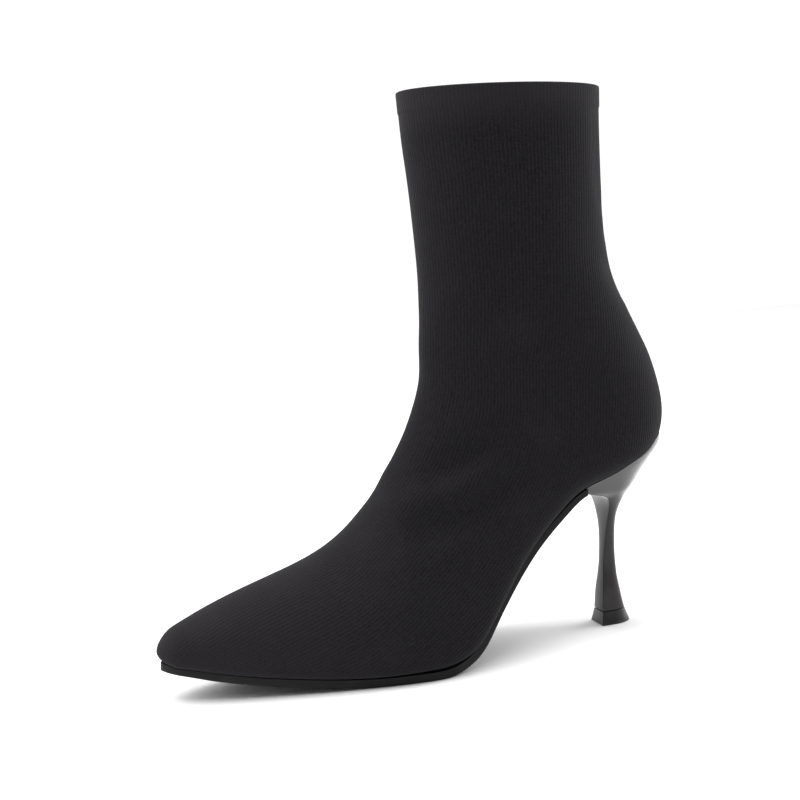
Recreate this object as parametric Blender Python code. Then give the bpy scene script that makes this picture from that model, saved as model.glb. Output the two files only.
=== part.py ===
# A pull-on sock boot for the left foot: a stretch knit upper in one piece, a thin
# outsole, an insole, a flared heel and its top piece. Metres, +Z up, toe towards -X,
# outer side towards -Y. The origin is on the floor, at the middle of the top piece.
import math
from typing import NamedTuple

import bmesh
import bpy
import numpy as np

# Driving sizes of the last, as it stands on its heel.
FOOT_LENGTH = 0.2465     # toe tip to the back of the counter, measured level
HEEL_LIFT = 0.0735       # rise of the heel seat above the tread
TOE_SPRING = 0.0112      # rise of the toe tip above the tread
INSTEP_HEIGHT = 0.072    # sole to instep, square to the waist
BALL_WIDTH = 0.080
HEEL_WIDTH = 0.060       # across the counter
ANKLE_DEPTH = 0.107      # counter to the bend at the front of the ankle
NOSE_RADIUS = 0.0080     # rounding of the toe tip

# Driving sizes of the leg.
LEG_HEIGHT = 0.1728      # heel seat to the top line
COLLAR_DEPTH = 0.095
COLLAR_WIDTH = 0.068

# The knit and its turned hem.
WALL = 0.0018
HEM_HEIGHT = 0.0085
HEM_STEP = 0.0005        # how far the hem stands out from the leg
HEM_EDGE = 0.0006        # the height over which it steps out

# The sole, the insole and the clearance that keeps pieces face to face.
GAP = 0.0003
TREAD_THICKNESS = 0.0026
WAIST_THICKNESS = 0.0020
SOLE_TOE_INSET = 0.0014  # how far the toe overhangs the outsole
SOLE_EDGE_ROUND = 0.0008
SOLE_LIP = 0.0012        # how high the outsole's edge climbs round the upper
THINNING = 0.25          # share of the heel's lift over which the tread thins to the waist
INSOLE_THICKNESS = 0.0020
INSOLE_GAP = 0.0006      # its clearance, wider than GAP because the upper's inside is facetted
INSOLE_RISE = 0.35       # how far its edge curls up underneath, as a share of its thickness
INSOLE_FRONT = 0.045     # its ends, as shares of the foot's length
INSOLE_BACK = 0.93
OPENING_FRONT = 0.10     # the opening under the upper, as shares of the foot's length
OPENING_BACK = 0.86

# The heel and its top piece.
HEEL_SETBACK = 0.032     # middle of the top piece to the back of the counter
TOP_PIECE_THICKNESS = 0.0062
TOP_PIECE_DEPTH = 0.0165
TOP_PIECE_WIDTH = 0.0137
NECK_DEPTH = 0.0072
NECK_WIDTH = 0.0056
CUP_DEPTH = 0.042        # breast to the back of the heel's cup
CUP_WIDTH = 0.0480

# Fineness of the solids.
SECTORS = 36             # points round a section of the upper, a multiple of 4
RINGS = 40               # sections from the nose to the collar
NOSE_RINGS = 5
HALF_OPENING = 4         # sectors left open on each side of the sole's middle line
TIP_TURN = 0.15          # the first section behind a rounded end, as a share of a quarter turn
SOLE_RINGS = 36
LOOKUP_POINTS = 400      # points at which a place under the foot is looked up
SOLE_SHARES = (1.0, 0.92, 0.78, 0.45, 0.0, -0.45, -0.78, -0.92, -1.0)
HEEL_BACK_POINTS = 8     # points from the side to the back of the heel
HEEL_STEP = 0.005        # greatest height between two sections of the heel
EDGE_ANGLE = 32          # degrees between two faces above which their edge is drawn sharp


class Row(NamedTuple):
    """One section of the upper, from its point under the foot (or behind the leg) to its point over it."""

    along: float     # lower point from the toe, as a share of FOOT_LENGTH
    spring: float    # its height as a share of TOE_SPRING
    lift: float      # and of HEEL_LIFT
    climb: float     # and of LEG_HEIGHT
    lean: float      # tilt of the section towards the toe, in degrees
    span: float      # its length, as a share of the table's own depth
    lateral: float   # half widths as shares of half the table's own width
    medial: float
    belly: float     # where it is widest, as a share of its length
    base: float      # squareness under the foot: 2 is an ellipse
    crown: float     # squareness over it
    sole: float      # the outsole's half width as a share of the section's


FOREPART = (
    Row(0.000, 1.22, 0.000, 0.0, 0.0, 0.158, 0.20, 0.19, 0.46, 3.2, 2.0, 0.70),
    Row(0.041, 1.05, 0.000, 0.0, 0.0, 0.250, 0.32, 0.30, 0.43, 4.0, 2.0, 0.80),
    Row(0.102, 0.74, 0.000, 0.0, 0.0, 0.386, 0.46, 0.44, 0.38, 5.0, 2.0, 0.86),
    Row(0.180, 0.44, 0.000, 0.0, 1.0, 0.510, 0.62, 0.61, 0.34, 6.0, 2.0, 0.89),
    Row(0.253, 0.23, 0.000, 0.0, 2.5, 0.608, 0.76, 0.76, 0.31, 6.5, 1.95, 0.90),
    Row(0.327, 0.06, 0.000, 0.0, 5.0, 0.714, 0.88, 0.89, 0.28, 6.5, 1.9, 0.90),
    Row(0.396, 0.00, 0.000, 0.0, 8.0, 0.842, 0.98, 0.94, 0.25, 6.5, 1.85, 0.91),
    Row(0.482, 0.00, 0.000, 0.0, 13.0, 1.038, 1.04, 0.88, 0.23, 6.0, 1.8, 0.92),
    Row(0.542, 0.00, 0.046, 0.0, 20.0, 1.118, 0.98, 0.81, 0.23, 5.5, 1.8, 0.83),
    Row(0.602, 0.00, 0.250, 0.0, 31.0, 1.062, 0.87, 0.75, 0.25, 5.0, 1.8, 0.74),
    Row(0.645, 0.00, 0.425, 0.0, 37.0, 1.033, 0.80, 0.71, 0.27, 4.5, 1.85, 0.71),
)
BACKPART = (
    Row(0.694, 0.00, 0.604, 0.0, 45.0, 0.696, 0.97, 0.90, 0.29, 4.2, 1.9, 0.70),
    Row(0.747, 0.00, 0.764, 0.0, 51.0, 0.737, 0.94, 0.89, 0.30, 4.0, 1.95, 0.70),
    Row(0.800, 0.00, 0.896, 0.0, 55.5, 0.802, 0.94, 0.91, 0.31, 3.8, 2.0, 0.70),
    Row(0.857, 0.00, 0.946, 0.0, 58.5, 0.905, 0.96, 0.94, 0.32, 3.4, 2.0, 0.70),
    Row(0.914, 0.00, 0.999, 0.0, 61.0, 1.017, 0.98, 0.97, 0.33, 3.0, 2.0, 0.70),
    Row(0.957, 0.00, 1.056, 0.0, 63.0, 1.108, 0.99, 0.98, 0.34, 2.6, 2.0, 0.70),
    Row(0.978, 0.00, 1.137, 0.0, 65.0, 1.155, 1.00, 0.99, 0.35, 2.3, 2.0, 0.70),
    Row(0.991, 0.00, 1.239, 0.0, 67.5, 1.159, 1.00, 1.00, 0.36, 2.2, 2.0, 0.70),
    Row(0.995, 0.00, 1.362, 0.0, 70.0, 1.146, 1.00, 1.00, 0.38, 2.1, 2.0, 0.70),
    Row(0.988, 0.00, 1.512, 0.0, 73.0, 1.090, 1.00, 1.00, 0.40, 2.05, 2.0, 0.70),
    Row(0.976, 0.00, 1.675, 0.0, 76.0, 1.052, 1.00, 1.00, 0.43, 2.0, 2.0, 0.70),
)
LEG = (
    Row(0.952, 0.00, 1.000, 0.365, 79.0, 1.105, 0.88, 0.88, 0.46, 2.0, 2.0, 0.70),
    Row(0.927, 0.00, 1.000, 0.446, 82.0, 1.020, 0.89, 0.89, 0.48, 2.0, 2.0, 0.70),
    Row(0.906, 0.00, 1.000, 0.534, 84.5, 0.958, 0.90, 0.90, 0.49, 2.0, 2.0, 0.70),
    Row(0.896, 0.00, 1.000, 0.644, 86.5, 0.935, 0.92, 0.92, 0.50, 2.0, 2.0, 0.70),
    Row(0.897, 0.00, 1.000, 0.749, 88.0, 0.942, 0.94, 0.94, 0.50, 2.0, 2.0, 0.70),
    Row(0.899, 0.00, 1.000, 0.872, 87.9, 0.962, 0.97, 0.97, 0.50, 2.0, 2.0, 0.70),
    Row(0.903, 0.00, 1.000, 1.000, 87.7, 0.979, 1.00, 1.00, 0.50, 2.0, 2.0, 0.70),
)
TABLES = (
    (FOREPART, INSTEP_HEIGHT, BALL_WIDTH),
    (BACKPART, ANKLE_DEPTH, HEEL_WIDTH),
    (LEG, COLLAR_DEPTH, COLLAR_WIDTH),
)

FLOOR_TO_UPPER = TREAD_THICKNESS + GAP
TOE_X = HEEL_SETBACK - FOOT_LENGTH


class HeelRow(NamedTuple):
    """One level section of the heel, from its top piece up into the cup."""

    up: float        # height, as a share of the seat's height over the tread
    front: float     # reach towards the toe and the back from the middle of the
    back: float      # top piece, as shares of the table's own depth
    half: float      # half width, as a share of the table's own width
    breast: float    # half width of the flat front, as a share of the section's


TOP_PIECE = (
    HeelRow(0.000, 0.436, 0.564, 0.500, 0.96),
    HeelRow(0.081, 0.358, 0.435, 0.391, 0.96),
)
STEM = (
    HeelRow(0.196, 0.704, 0.764, 0.850, 0.96),
    HeelRow(0.314, 0.530, 0.597, 0.620, 0.95),
    HeelRow(0.393, 0.425, 0.575, 0.507, 0.95),
    HeelRow(0.471, 0.324, 0.569, 0.589, 0.94),
    HeelRow(0.550, 0.236, 0.611, 0.703, 0.94),
    HeelRow(0.654, 0.153, 0.694, 1.090, 0.94),
)
CUP = (
    HeelRow(0.726, 0.025, 0.152, 0.177, 0.95),
    HeelRow(0.772, 0.036, 0.197, 0.213, 0.95),
    HeelRow(0.810, 0.062, 0.234, 0.248, 0.97),
    HeelRow(0.836, 0.115, 0.265, 0.282, 1.00),
    HeelRow(0.850, 0.215, 0.286, 0.308, 1.05),
    HeelRow(0.860, 0.381, 0.300, 0.322, 1.10),
    HeelRow(0.885, 0.381, 0.338, 0.345, 1.08),
    HeelRow(0.955, 0.381, 0.430, 0.406, 0.98),
    HeelRow(1.060, 0.381, 0.572, 0.490, 0.90),
    HeelRow(1.095, 0.381, 0.634, 0.498, 0.89),
    HeelRow(1.150, 0.381, 0.680, 0.500, 0.88),
    HeelRow(1.230, 0.381, 0.640, 0.465, 0.86),
)
HEEL_TABLES = (
    (TOP_PIECE, TOP_PIECE_DEPTH, TOP_PIECE_WIDTH),
    (STEM, NECK_DEPTH, NECK_WIDTH),
    (CUP, CUP_DEPTH, CUP_WIDTH),
)
SEAT_HEIGHT = FLOOR_TO_UPPER + HEEL_LIFT
BREAST_X = -CUP[-1].front * CUP_DEPTH


def laid_out(tables):
    """The rows of every table in metres and radians, in one array, toe first."""
    rows = []
    for table, depth, width in tables:
        for r in table:
            rows.append((
                TOE_X + r.along * FOOT_LENGTH,
                FLOOR_TO_UPPER + r.spring * TOE_SPRING + r.lift * HEEL_LIFT + r.climb * LEG_HEIGHT,
                math.radians(r.lean),
                r.span * depth,
                r.lateral * width / 2,
                r.medial * width / 2,
                r.belly,
                r.base,
                r.crown,
                r.sole,
            ))
    return np.array(rows)


ROWS = laid_out(TABLES)


def over_points(rows):
    """Where each section ends over the foot or in front of the leg."""
    x = rows[..., 0] - rows[..., 3] * np.sin(rows[..., 2])
    z = rows[..., 1] + rows[..., 3] * np.cos(rows[..., 2])
    return np.stack([x, z], axis=-1)


def row_distances(rows):
    """How far each row lies along the boot, as the mean of its steps under and over it."""
    under = np.linalg.norm(np.diff(rows[:, :2], axis=0), axis=1)
    over = np.linalg.norm(np.diff(over_points(rows), axis=0), axis=1)
    return np.concatenate([[0], np.cumsum((under + over) / 2)])


DISTANCES = row_distances(ROWS)


def smooth(knots, values, at):
    """A curve through the rows that never overshoots them, so what is level stays level."""
    step = np.diff(knots)[:, None]
    rise = np.diff(values, axis=0) / step
    product = rise[:-1] * rise[1:]
    total = np.where(product > 0, rise[:-1] + rise[1:], 1.0)
    inner = np.where(product > 0, 2 * product / total, 0.0)
    slope = np.concatenate([rise[:1], inner, rise[-1:]])
    i = np.clip(np.searchsorted(knots, at, side="right") - 1, 0, len(knots) - 2)
    h = step[i]
    t = ((at - knots[i]) / h[:, 0])[:, None]
    return (
        values[i] * (1 + 2 * t) * (1 - t) ** 2
        + values[i + 1] * t * t * (3 - 2 * t)
        + slope[i] * h * t * (1 - t) ** 2
        - slope[i + 1] * h * t * t * (1 - t)
    )


def sections(distances):
    """The interpolated rows at these distances."""
    return smooth(DISTANCES, ROWS, np.asarray(distances, float))


def rounded_end(depth):
    """The share of its size that a section keeps this far behind a rounded end."""
    return np.sqrt(1 - (1 - np.clip(depth / NOSE_RADIUS, 0, 1)) ** 2)


def ring(row, sectors=SECTORS):
    """Points round one section, from the middle of its underside by way of the inner side."""
    x, z, lean, span, lateral, medial, belly, base, crown, _ = row
    angle = 2 * math.pi * np.arange(sectors) / sectors
    sine, cosine = np.sin(angle), np.cos(angle)
    power = np.where(cosine > 0, base, crown)
    radius = (np.abs(sine) ** power + np.abs(cosine) ** power) ** (1 / power)
    side = sine / radius * np.where(sine > 0, medial, lateral)
    drop = cosine / radius
    height = belly - drop * np.where(cosine > 0, belly, 1 - belly)
    # The nose is rounded by drawing its sections in towards their own widest line.
    keep = rounded_end(x - TOE_X)
    side = side * keep
    reach = (belly + (height - belly) * keep) * span
    return np.stack([x - reach * math.sin(lean), side, z + reach * math.cos(lean)], axis=1)


def distance_at(depth):
    """The distance of the section that starts this far behind the toe, under the foot."""
    spots = np.linspace(0, DISTANCES[np.argmax(ROWS[:, 0])], LOOKUP_POINTS)
    return float(np.interp(depth, sections(spots)[:, 0] - TOE_X, spots))


def stations():
    """Distances of the upper's sections: close together round the nose and at the hem's step."""
    nose_turns = [(k + 1) / NOSE_RINGS * math.pi / 2 for k in range(NOSE_RINGS)]
    nose = [distance_at(NOSE_RADIUS * (1 - math.cos(turn))) for turn in nose_turns]
    top = DISTANCES[-1]
    hem = [top - HEM_HEIGHT - HEM_EDGE, top - HEM_HEIGHT, top]
    return nose + list(np.linspace(nose[-1], hem[0], RINGS)[1:]) + hem[1:]


def skin(distances, grow):
    """A grid of points on the upper's outer face, moved outwards by grow, and the nose's tip."""
    rows = sections(distances)
    grid = np.array([ring(row) for row in rows])
    tip = ring(sections([0.0])[0])[0]
    before = np.concatenate([np.broadcast_to(tip, grid[:1].shape), grid[:-1]])
    after = np.concatenate([grid[1:], grid[-1:]])
    along = after - before
    round_it = np.roll(grid, -1, axis=1) - np.roll(grid, 1, axis=1)
    normal = np.cross(round_it, along)
    normal /= np.linalg.norm(normal, axis=2, keepdims=True)
    grow = np.asarray(grow, float).reshape(-1, 1, 1)
    return grid + normal * grow, tip - np.array([grow.flat[0], 0, 0])


def new_object(name, points, faces, material=None):
    """A mesh object in the scene, its faces turned outwards."""
    mesh = bpy.data.meshes.new(name)
    mesh.from_pydata([tuple(map(float, p)) for p in points], [], faces)
    turned = bmesh.new()
    turned.from_mesh(mesh)
    bmesh.ops.recalc_face_normals(turned, faces=turned.faces)
    turned.to_mesh(mesh)
    turned.free()
    made = bpy.data.objects.new(name, mesh)
    bpy.context.scene.collection.objects.link(made)
    if material:
        mesh.materials.append(material)
    return made


def rounded(made):
    """Shades an object smooth, except over its sharp edges."""
    made.data.shade_smooth()
    made.data.set_sharp_from_angle(angle=math.radians(EDGE_ANGLE))
    return made


def helper(made):
    """Marks an object as a cutter, which is not part of the boot."""
    made.hide_render = True
    made.display_type = "WIRE"
    return made


def grid_faces(first, rings, sectors):
    """Quads between successive closed rings of points."""
    return [
        (
            first + i * sectors + j,
            first + i * sectors + (j + 1) % sectors,
            first + (i + 1) * sectors + (j + 1) % sectors,
            first + (i + 1) * sectors + j,
        )
        for i in range(rings - 1)
        for j in range(sectors)
    ]


def fan(tip, first, sectors):
    """Triangles from one point to a ring."""
    return [(tip, first + (j + 1) % sectors, first + j) for j in range(sectors)]


def body_solid(name, grow):
    """The closed form inside or around the upper's outer face, as a cutter."""
    grid, tip = skin(stations(), grow)
    count = len(grid)
    points = list(grid.reshape(-1, 3)) + [tip]
    faces = grid_faces(0, count, SECTORS) + fan(count * SECTORS, 0, SECTORS)
    faces.append(tuple(range((count - 1) * SECTORS, count * SECTORS)))
    return helper(new_object(name, points, faces))


def boolean(target, cutter, operation):
    step = target.modifiers.new(cutter.name, "BOOLEAN")
    step.object = cutter
    step.operation = operation
    step.solver = "EXACT"


def opening_cells(distances):
    """Which cells of the grid are left open under the foot, for the lasting margin to turn in round."""
    front = distance_at(OPENING_FRONT * FOOT_LENGTH)
    back = distance_at(OPENING_BACK * FOOT_LENGTH)
    rings = [i for i in range(len(distances) - 1) if distances[i] >= front and distances[i + 1] <= back]
    sectors = [j % SECTORS for j in range(-HALF_OPENING, HALF_OPENING)]
    return {(i, j) for i in rings for j in sectors}


def build_upper(material):
    """The knit: an outer and an inner face, joined round the collar and round the opening underneath."""
    distances = stations()
    count = len(distances)
    hem = np.array([HEM_STEP if d >= DISTANCES[-1] - HEM_HEIGHT else 0.0 for d in distances])
    outer, outer_tip = skin(distances, hem)
    inner, inner_tip = skin(distances, np.full(count, -WALL))
    points = list(outer.reshape(-1, 3)) + list(inner.reshape(-1, 3)) + [outer_tip, inner_tip]
    shift = count * SECTORS
    left_open = opening_cells(distances)
    faces = []
    for i in range(count - 1):
        for j in range(SECTORS):
            if (i, j) in left_open:
                continue
            a = i * SECTORS + j
            b = i * SECTORS + (j + 1) % SECTORS
            c, d = b + SECTORS, a + SECTORS
            faces.append((a, b, c, d))
            faces.append((shift + d, shift + c, shift + b, shift + a))
    faces += fan(2 * shift, 0, SECTORS)
    faces += [face[::-1] for face in fan(2 * shift + 1, shift, SECTORS)]
    faces += rim_faces(faces, shift)
    return rounded(new_object("upper", points, faces, material))


def rim_faces(faces, shift):
    """Quads that join each free edge of the outer face to the same edge of the inner one."""
    edges = set()
    for face in faces:
        for a, b in zip(face, face[1:] + face[:1]):
            if (b, a) in edges:
                edges.remove((b, a))
            else:
                edges.add((a, b))
    return [(b, a, shift + a, shift + b) for a, b in edges if a < shift and b < shift]


def underside(row, across):
    """The upper's underside this far across: its height over its own middle line, and its slope."""
    x, _, _, span, lateral, medial, belly, base, _, _ = row
    keep = rounded_end(x - TOE_X)
    half = keep * (medial if across > 0 else lateral)
    out = abs(across) / half
    inside = 1 - out**base
    height = belly * span * (1 - keep * inside ** (1 / base))
    slope = belly * span * keep / half * out ** (base - 1) * inside ** (1 / base - 1)
    return height, math.copysign(slope, across)


def loft(name, rings, material):
    """A solid through these closed rings of points, flat at both ends."""
    size = len(rings[0])
    points = [point for ring_points in rings for point in ring_points]
    faces = grid_faces(0, len(rings), size)
    faces.append(tuple(range(size)))
    faces.append(tuple(range((len(rings) - 1) * size, len(rings) * size)))
    return rounded(new_object(name, points, faces, material))


def along_floor(distances):
    """For each distance: its row, the way on along the underside's middle line, and the way up from it."""
    nudge = 1e-5
    ahead = sections(distances + nudge)[:, :2] - sections(distances - nudge)[:, :2]
    ahead /= np.linalg.norm(ahead, axis=1, keepdims=True)
    return zip(sections(distances), ahead, np.stack([-ahead[:, 1], ahead[:, 0]], axis=1))


def at_section(row, up, across, height, lift):
    """A point of a section: this high along the section's own lean, then lifted square to the floor line."""
    lean = row[2]
    x = row[0] - height * math.sin(lean) + lift * up[0]
    z = row[1] + height * math.cos(lean) + lift * up[1]
    return x, across, z


def hugging(row, up, across, lift):
    """A point this far inside the upper's underside, or outside it where lift is negative."""
    height, slope = underside(row, across)
    length = math.hypot(1, slope)
    return at_section(row, up, across - lift * slope / length, height, lift / length)


def end_depths():
    """Depths behind a rounded end, close together near it."""
    return NOSE_RADIUS * (1 - np.cos(np.linspace(TIP_TURN, 1, NOSE_RINGS) * math.pi / 2))


def toe_spaced(front, back):
    """Distances that start close together behind a rounded end, front and back measured from the toe."""
    nose = [distance_at(front + depth) for depth in end_depths()]
    return np.array(nose + list(np.linspace(nose[-1], distance_at(back), SOLE_RINGS)[1:]))


def build_outsole(material):
    """The outsole: it hugs the upper's underside, thins towards the waist and ends square at the heel."""
    end = BREAST_X - GAP
    distances = toe_spaced(SOLE_TOE_INSET, end - TOE_X)
    rings = []
    for row, ahead, up in along_floor(distances):
        keep = row[9] * rounded_end(row[0] - TOE_X - SOLE_TOE_INSET)
        lateral, medial = keep * row[4], keep * row[5]
        thinned = min(1.0, (row[1] - FLOOR_TO_UPPER) / (THINNING * HEEL_LIFT))
        low = -GAP - TREAD_THICKNESS + thinned * (TREAD_THICKNESS - WAIST_THICKNESS)
        corner = min(SOLE_EDGE_ROUND, lateral / 2, medial / 2)
        inset = corner * (1 - math.sqrt(0.5))
        outline = [(-lateral, low + corner), (inset - lateral, low + inset), (corner - lateral, low)]
        outline += [(0.0, low)]
        outline += [(medial - corner, low), (medial - inset, low + inset), (medial, low + corner)]
        points = [at_section(row, up, across, 0, lift) for across, lift in outline]
        for share in SOLE_SHARES:
            across = share * (medial if share > 0 else lateral)
            height = min(underside(row, across)[0], SOLE_LIP)
            points.append(at_section(row, up, across, height, -GAP))
        rings.append(points)
    slide = [(end - x) / ahead[0] for x, _, _ in rings[-1]]
    rings[-1] = [
        (end, y, z + step * ahead[1]) for (_, y, z), step in zip(rings[-1], slide)
    ]
    return loft("outsole", rings, material)


def build_insole(material):
    """The insole: a flat board on the turned-in margin, its edge curled up by the upper's wall."""
    clear = WALL + INSOLE_GAP
    front, back = INSOLE_FRONT * FOOT_LENGTH, INSOLE_BACK * FOOT_LENGTH
    heel_end = [distance_at(back - depth) for depth in end_depths()[::-1]]
    board = [distance for distance in toe_spaced(front, back) if distance < heel_end[0]]
    rings = []
    for row, _, up in along_floor(np.array(board + heel_end)):
        depth = row[0] - TOE_X
        keep = rounded_end(depth - front) * rounded_end(back - depth)
        _, _, _, span, lateral, medial, belly, base, _, _ = row
        rise = INSOLE_RISE * INSOLE_THICKNESS / (belly * span)
        share = keep * (1 - (1 - rise) ** base) ** (1 / base)
        points = [
            hugging(row, up, part * share * (medial if part > 0 else lateral), clear)
            for part in SOLE_SHARES[::-1]
        ]
        top = clear + INSOLE_THICKNESS
        points += [at_section(row, up, across, 0, top) for across in (points[-1][1], 0.0, points[0][1])]
        rings.append(points)
    return loft("insole", rings, material)


def heel_rows():
    """The rows of the heel's tables in metres: height, front, back, half width, breast half width."""
    rows = []
    for table, depth, width in HEEL_TABLES:
        for r in table:
            half = r.half * width
            rows.append((r.up * SEAT_HEIGHT, r.front * depth, r.back * depth, half, r.breast * half))
    return np.array(rows)


def heel_ring(row):
    """Points round one level section of the heel: a flat breast, straight sides and a round back."""
    z, front, back, half, breast = row
    turns = np.linspace(0, math.pi / 2, HEEL_BACK_POINTS + 1)
    side = [(-front, breast), (-front / 2, (breast + half) / 2)]
    side += [(back * math.sin(turn), half * math.cos(turn)) for turn in turns]
    outline = side + [(x, -y) for x, y in reversed(side[:-1])] + [(-front, 0.0)]
    return [(x, y, z) for x, y in outline]


def heel_loft(name, heights, material):
    """A solid through the heel's own sections at these heights."""
    rows = heel_rows()
    return loft(name, [heel_ring(row) for row in smooth(rows[:, 0], rows, heights)], material)


def build_heel(material):
    """The heel: one moulding whose cup takes the upper's seat."""
    low = TOP_PIECE_THICKNESS + GAP
    levels = [low] + [height for height in heel_rows()[:, 0] if height > low]
    heights = [low]
    for a, b in zip(levels, levels[1:]):
        steps = math.ceil((b - a) / HEEL_STEP)
        heights += [a + (b - a) * (k + 1) / steps for k in range(steps)]
    made = heel_loft("heel", np.array(heights), material)
    boolean(made, body_solid("heel_seat", GAP), "DIFFERENCE")
    return made


def build_top_piece(material):
    """The top piece: the rubber tip that the heel stands on."""
    return heel_loft("top_piece", np.linspace(0, TOP_PIECE_THICKNESS, 3), material)


def finish(name, colour, roughness, coat=0.0):
    """A plain finish for one piece, none of them metal."""
    made = bpy.data.materials.new(name)
    made.use_nodes = True
    sockets = made.node_tree.nodes["Principled BSDF"].inputs
    sockets["Base Color"].default_value = (*colour, 1.0)
    sockets["Roughness"].default_value = roughness
    sockets["Metallic"].default_value = 0.0
    sockets["Coat Weight"].default_value = coat
    return made


def build_all():
    """Clears the scene and builds the five pieces."""
    for old in list(bpy.data.objects):
        bpy.data.objects.remove(old)
    build_upper(finish("black_knit", (0.019, 0.0185, 0.020), 0.85))
    build_outsole(finish("black_sole", (0.012, 0.012, 0.0125), 0.50))
    build_insole(finish("dark_lining", (0.050, 0.048, 0.046), 0.75))
    build_heel(finish("black_gloss", (0.016, 0.0155, 0.016), 0.16, 1.0))
    build_top_piece(finish("black_rubber", (0.020, 0.0195, 0.020), 0.40))


build_all()
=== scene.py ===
import math
from typing import NamedTuple

import bmesh
import bpy
import numpy as np
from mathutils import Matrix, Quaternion, Vector


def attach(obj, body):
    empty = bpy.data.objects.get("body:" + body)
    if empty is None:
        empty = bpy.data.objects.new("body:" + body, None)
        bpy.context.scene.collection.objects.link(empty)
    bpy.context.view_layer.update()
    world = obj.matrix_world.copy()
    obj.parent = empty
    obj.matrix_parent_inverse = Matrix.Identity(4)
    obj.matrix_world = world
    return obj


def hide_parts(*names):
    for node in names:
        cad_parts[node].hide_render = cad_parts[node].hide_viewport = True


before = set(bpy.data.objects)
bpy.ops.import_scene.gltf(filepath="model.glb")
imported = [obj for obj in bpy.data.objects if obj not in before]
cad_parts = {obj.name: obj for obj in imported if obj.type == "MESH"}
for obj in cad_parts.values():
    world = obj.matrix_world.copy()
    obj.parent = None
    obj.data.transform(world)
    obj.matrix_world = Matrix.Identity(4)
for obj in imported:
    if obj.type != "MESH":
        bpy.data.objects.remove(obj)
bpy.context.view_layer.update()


# THE UPPER
# One tube of black stretch rib knit, shaped on a last with a pointed toe and pulled tight round the foot.
# Its top is turned in and held as a plain hem, and underneath it is glued to the outsole.

# Sizes in metres: toe towards -X, outer side towards -Y, floor at zero.
FOOT_LENGTH = 0.2465     # toe tip to the back of the counter, measured level
HEEL_LIFT = 0.0735       # rise of the heel seat above the tread
TOE_SPRING = 0.0112      # rise of the toe tip above the tread
INSTEP_HEIGHT = 0.072    # sole to instep, square to the waist
BALL_WIDTH = 0.080
HEEL_WIDTH = 0.060       # across the counter
ANKLE_DEPTH = 0.107      # counter to the bend at the front of the ankle
NOSE_RADIUS = 0.0080     # rounding of the toe tip
LEG_HEIGHT = 0.1728      # heel seat to the top line
COLLAR_DEPTH = 0.095
COLLAR_WIDTH = 0.068
WALL = 0.0018
HEM_HEIGHT = 0.0085
HEM_STEP = 0.0003        # how far the hem stands out from the leg
HEM_EDGE = 0.0016        # the height over which it steps out
HEM_ROLL = 0.0009        # rounding of the turned edge at the very top
GAP = 0.0003             # between the faces of neighbouring pieces
TREAD_THICKNESS = 0.0026
FLOOR_TO_UPPER = TREAD_THICKNESS + GAP
HEEL_SETBACK = 0.032     # middle of the top piece to the back of the counter
TOE_X = HEEL_SETBACK - FOOT_LENGTH


class Row(NamedTuple):
    """One section of the upper, from its point under the foot (or behind the leg) to its point over it."""

    along: float     # lower point from the toe, as a share of FOOT_LENGTH
    spring: float    # its height as a share of TOE_SPRING
    lift: float      # and of HEEL_LIFT
    climb: float     # and of LEG_HEIGHT
    lean: float      # tilt of the section towards the toe, in degrees
    span: float      # its length, as a share of the table's own depth
    lateral: float   # half widths as shares of half the table's own width
    medial: float
    belly: float     # where it is widest, as a share of its length
    base: float      # squareness under the foot: 2 is an ellipse
    crown: float     # squareness over it
    sole: float      # the outsole's half width as a share of the section's


FOREPART = (
    Row(0.000, 1.22, 0.000, 0.0, 0.0, 0.158, 0.20, 0.19, 0.46, 3.2, 2.0, 0.70),
    Row(0.041, 1.05, 0.000, 0.0, 0.0, 0.250, 0.32, 0.30, 0.43, 4.0, 2.0, 0.80),
    Row(0.102, 0.74, 0.000, 0.0, 0.0, 0.386, 0.46, 0.44, 0.38, 5.0, 2.0, 0.86),
    Row(0.180, 0.44, 0.000, 0.0, 1.0, 0.510, 0.62, 0.61, 0.34, 6.0, 2.0, 0.89),
    Row(0.253, 0.23, 0.000, 0.0, 2.5, 0.608, 0.76, 0.76, 0.31, 6.5, 1.95, 0.90),
    Row(0.327, 0.06, 0.000, 0.0, 5.0, 0.714, 0.88, 0.89, 0.28, 6.5, 1.9, 0.90),
    Row(0.396, 0.00, 0.000, 0.0, 8.0, 0.842, 0.98, 0.94, 0.25, 6.5, 1.85, 0.91),
    Row(0.482, 0.00, 0.000, 0.0, 13.0, 1.038, 1.04, 0.88, 0.23, 6.0, 1.8, 0.92),
    Row(0.542, 0.00, 0.046, 0.0, 20.0, 1.118, 0.98, 0.81, 0.23, 5.5, 1.8, 0.83),
    Row(0.602, 0.00, 0.250, 0.0, 31.0, 1.062, 0.87, 0.75, 0.25, 5.0, 1.8, 0.74),
    Row(0.645, 0.00, 0.425, 0.0, 37.0, 1.033, 0.80, 0.71, 0.27, 4.5, 1.85, 0.71),
)
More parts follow.
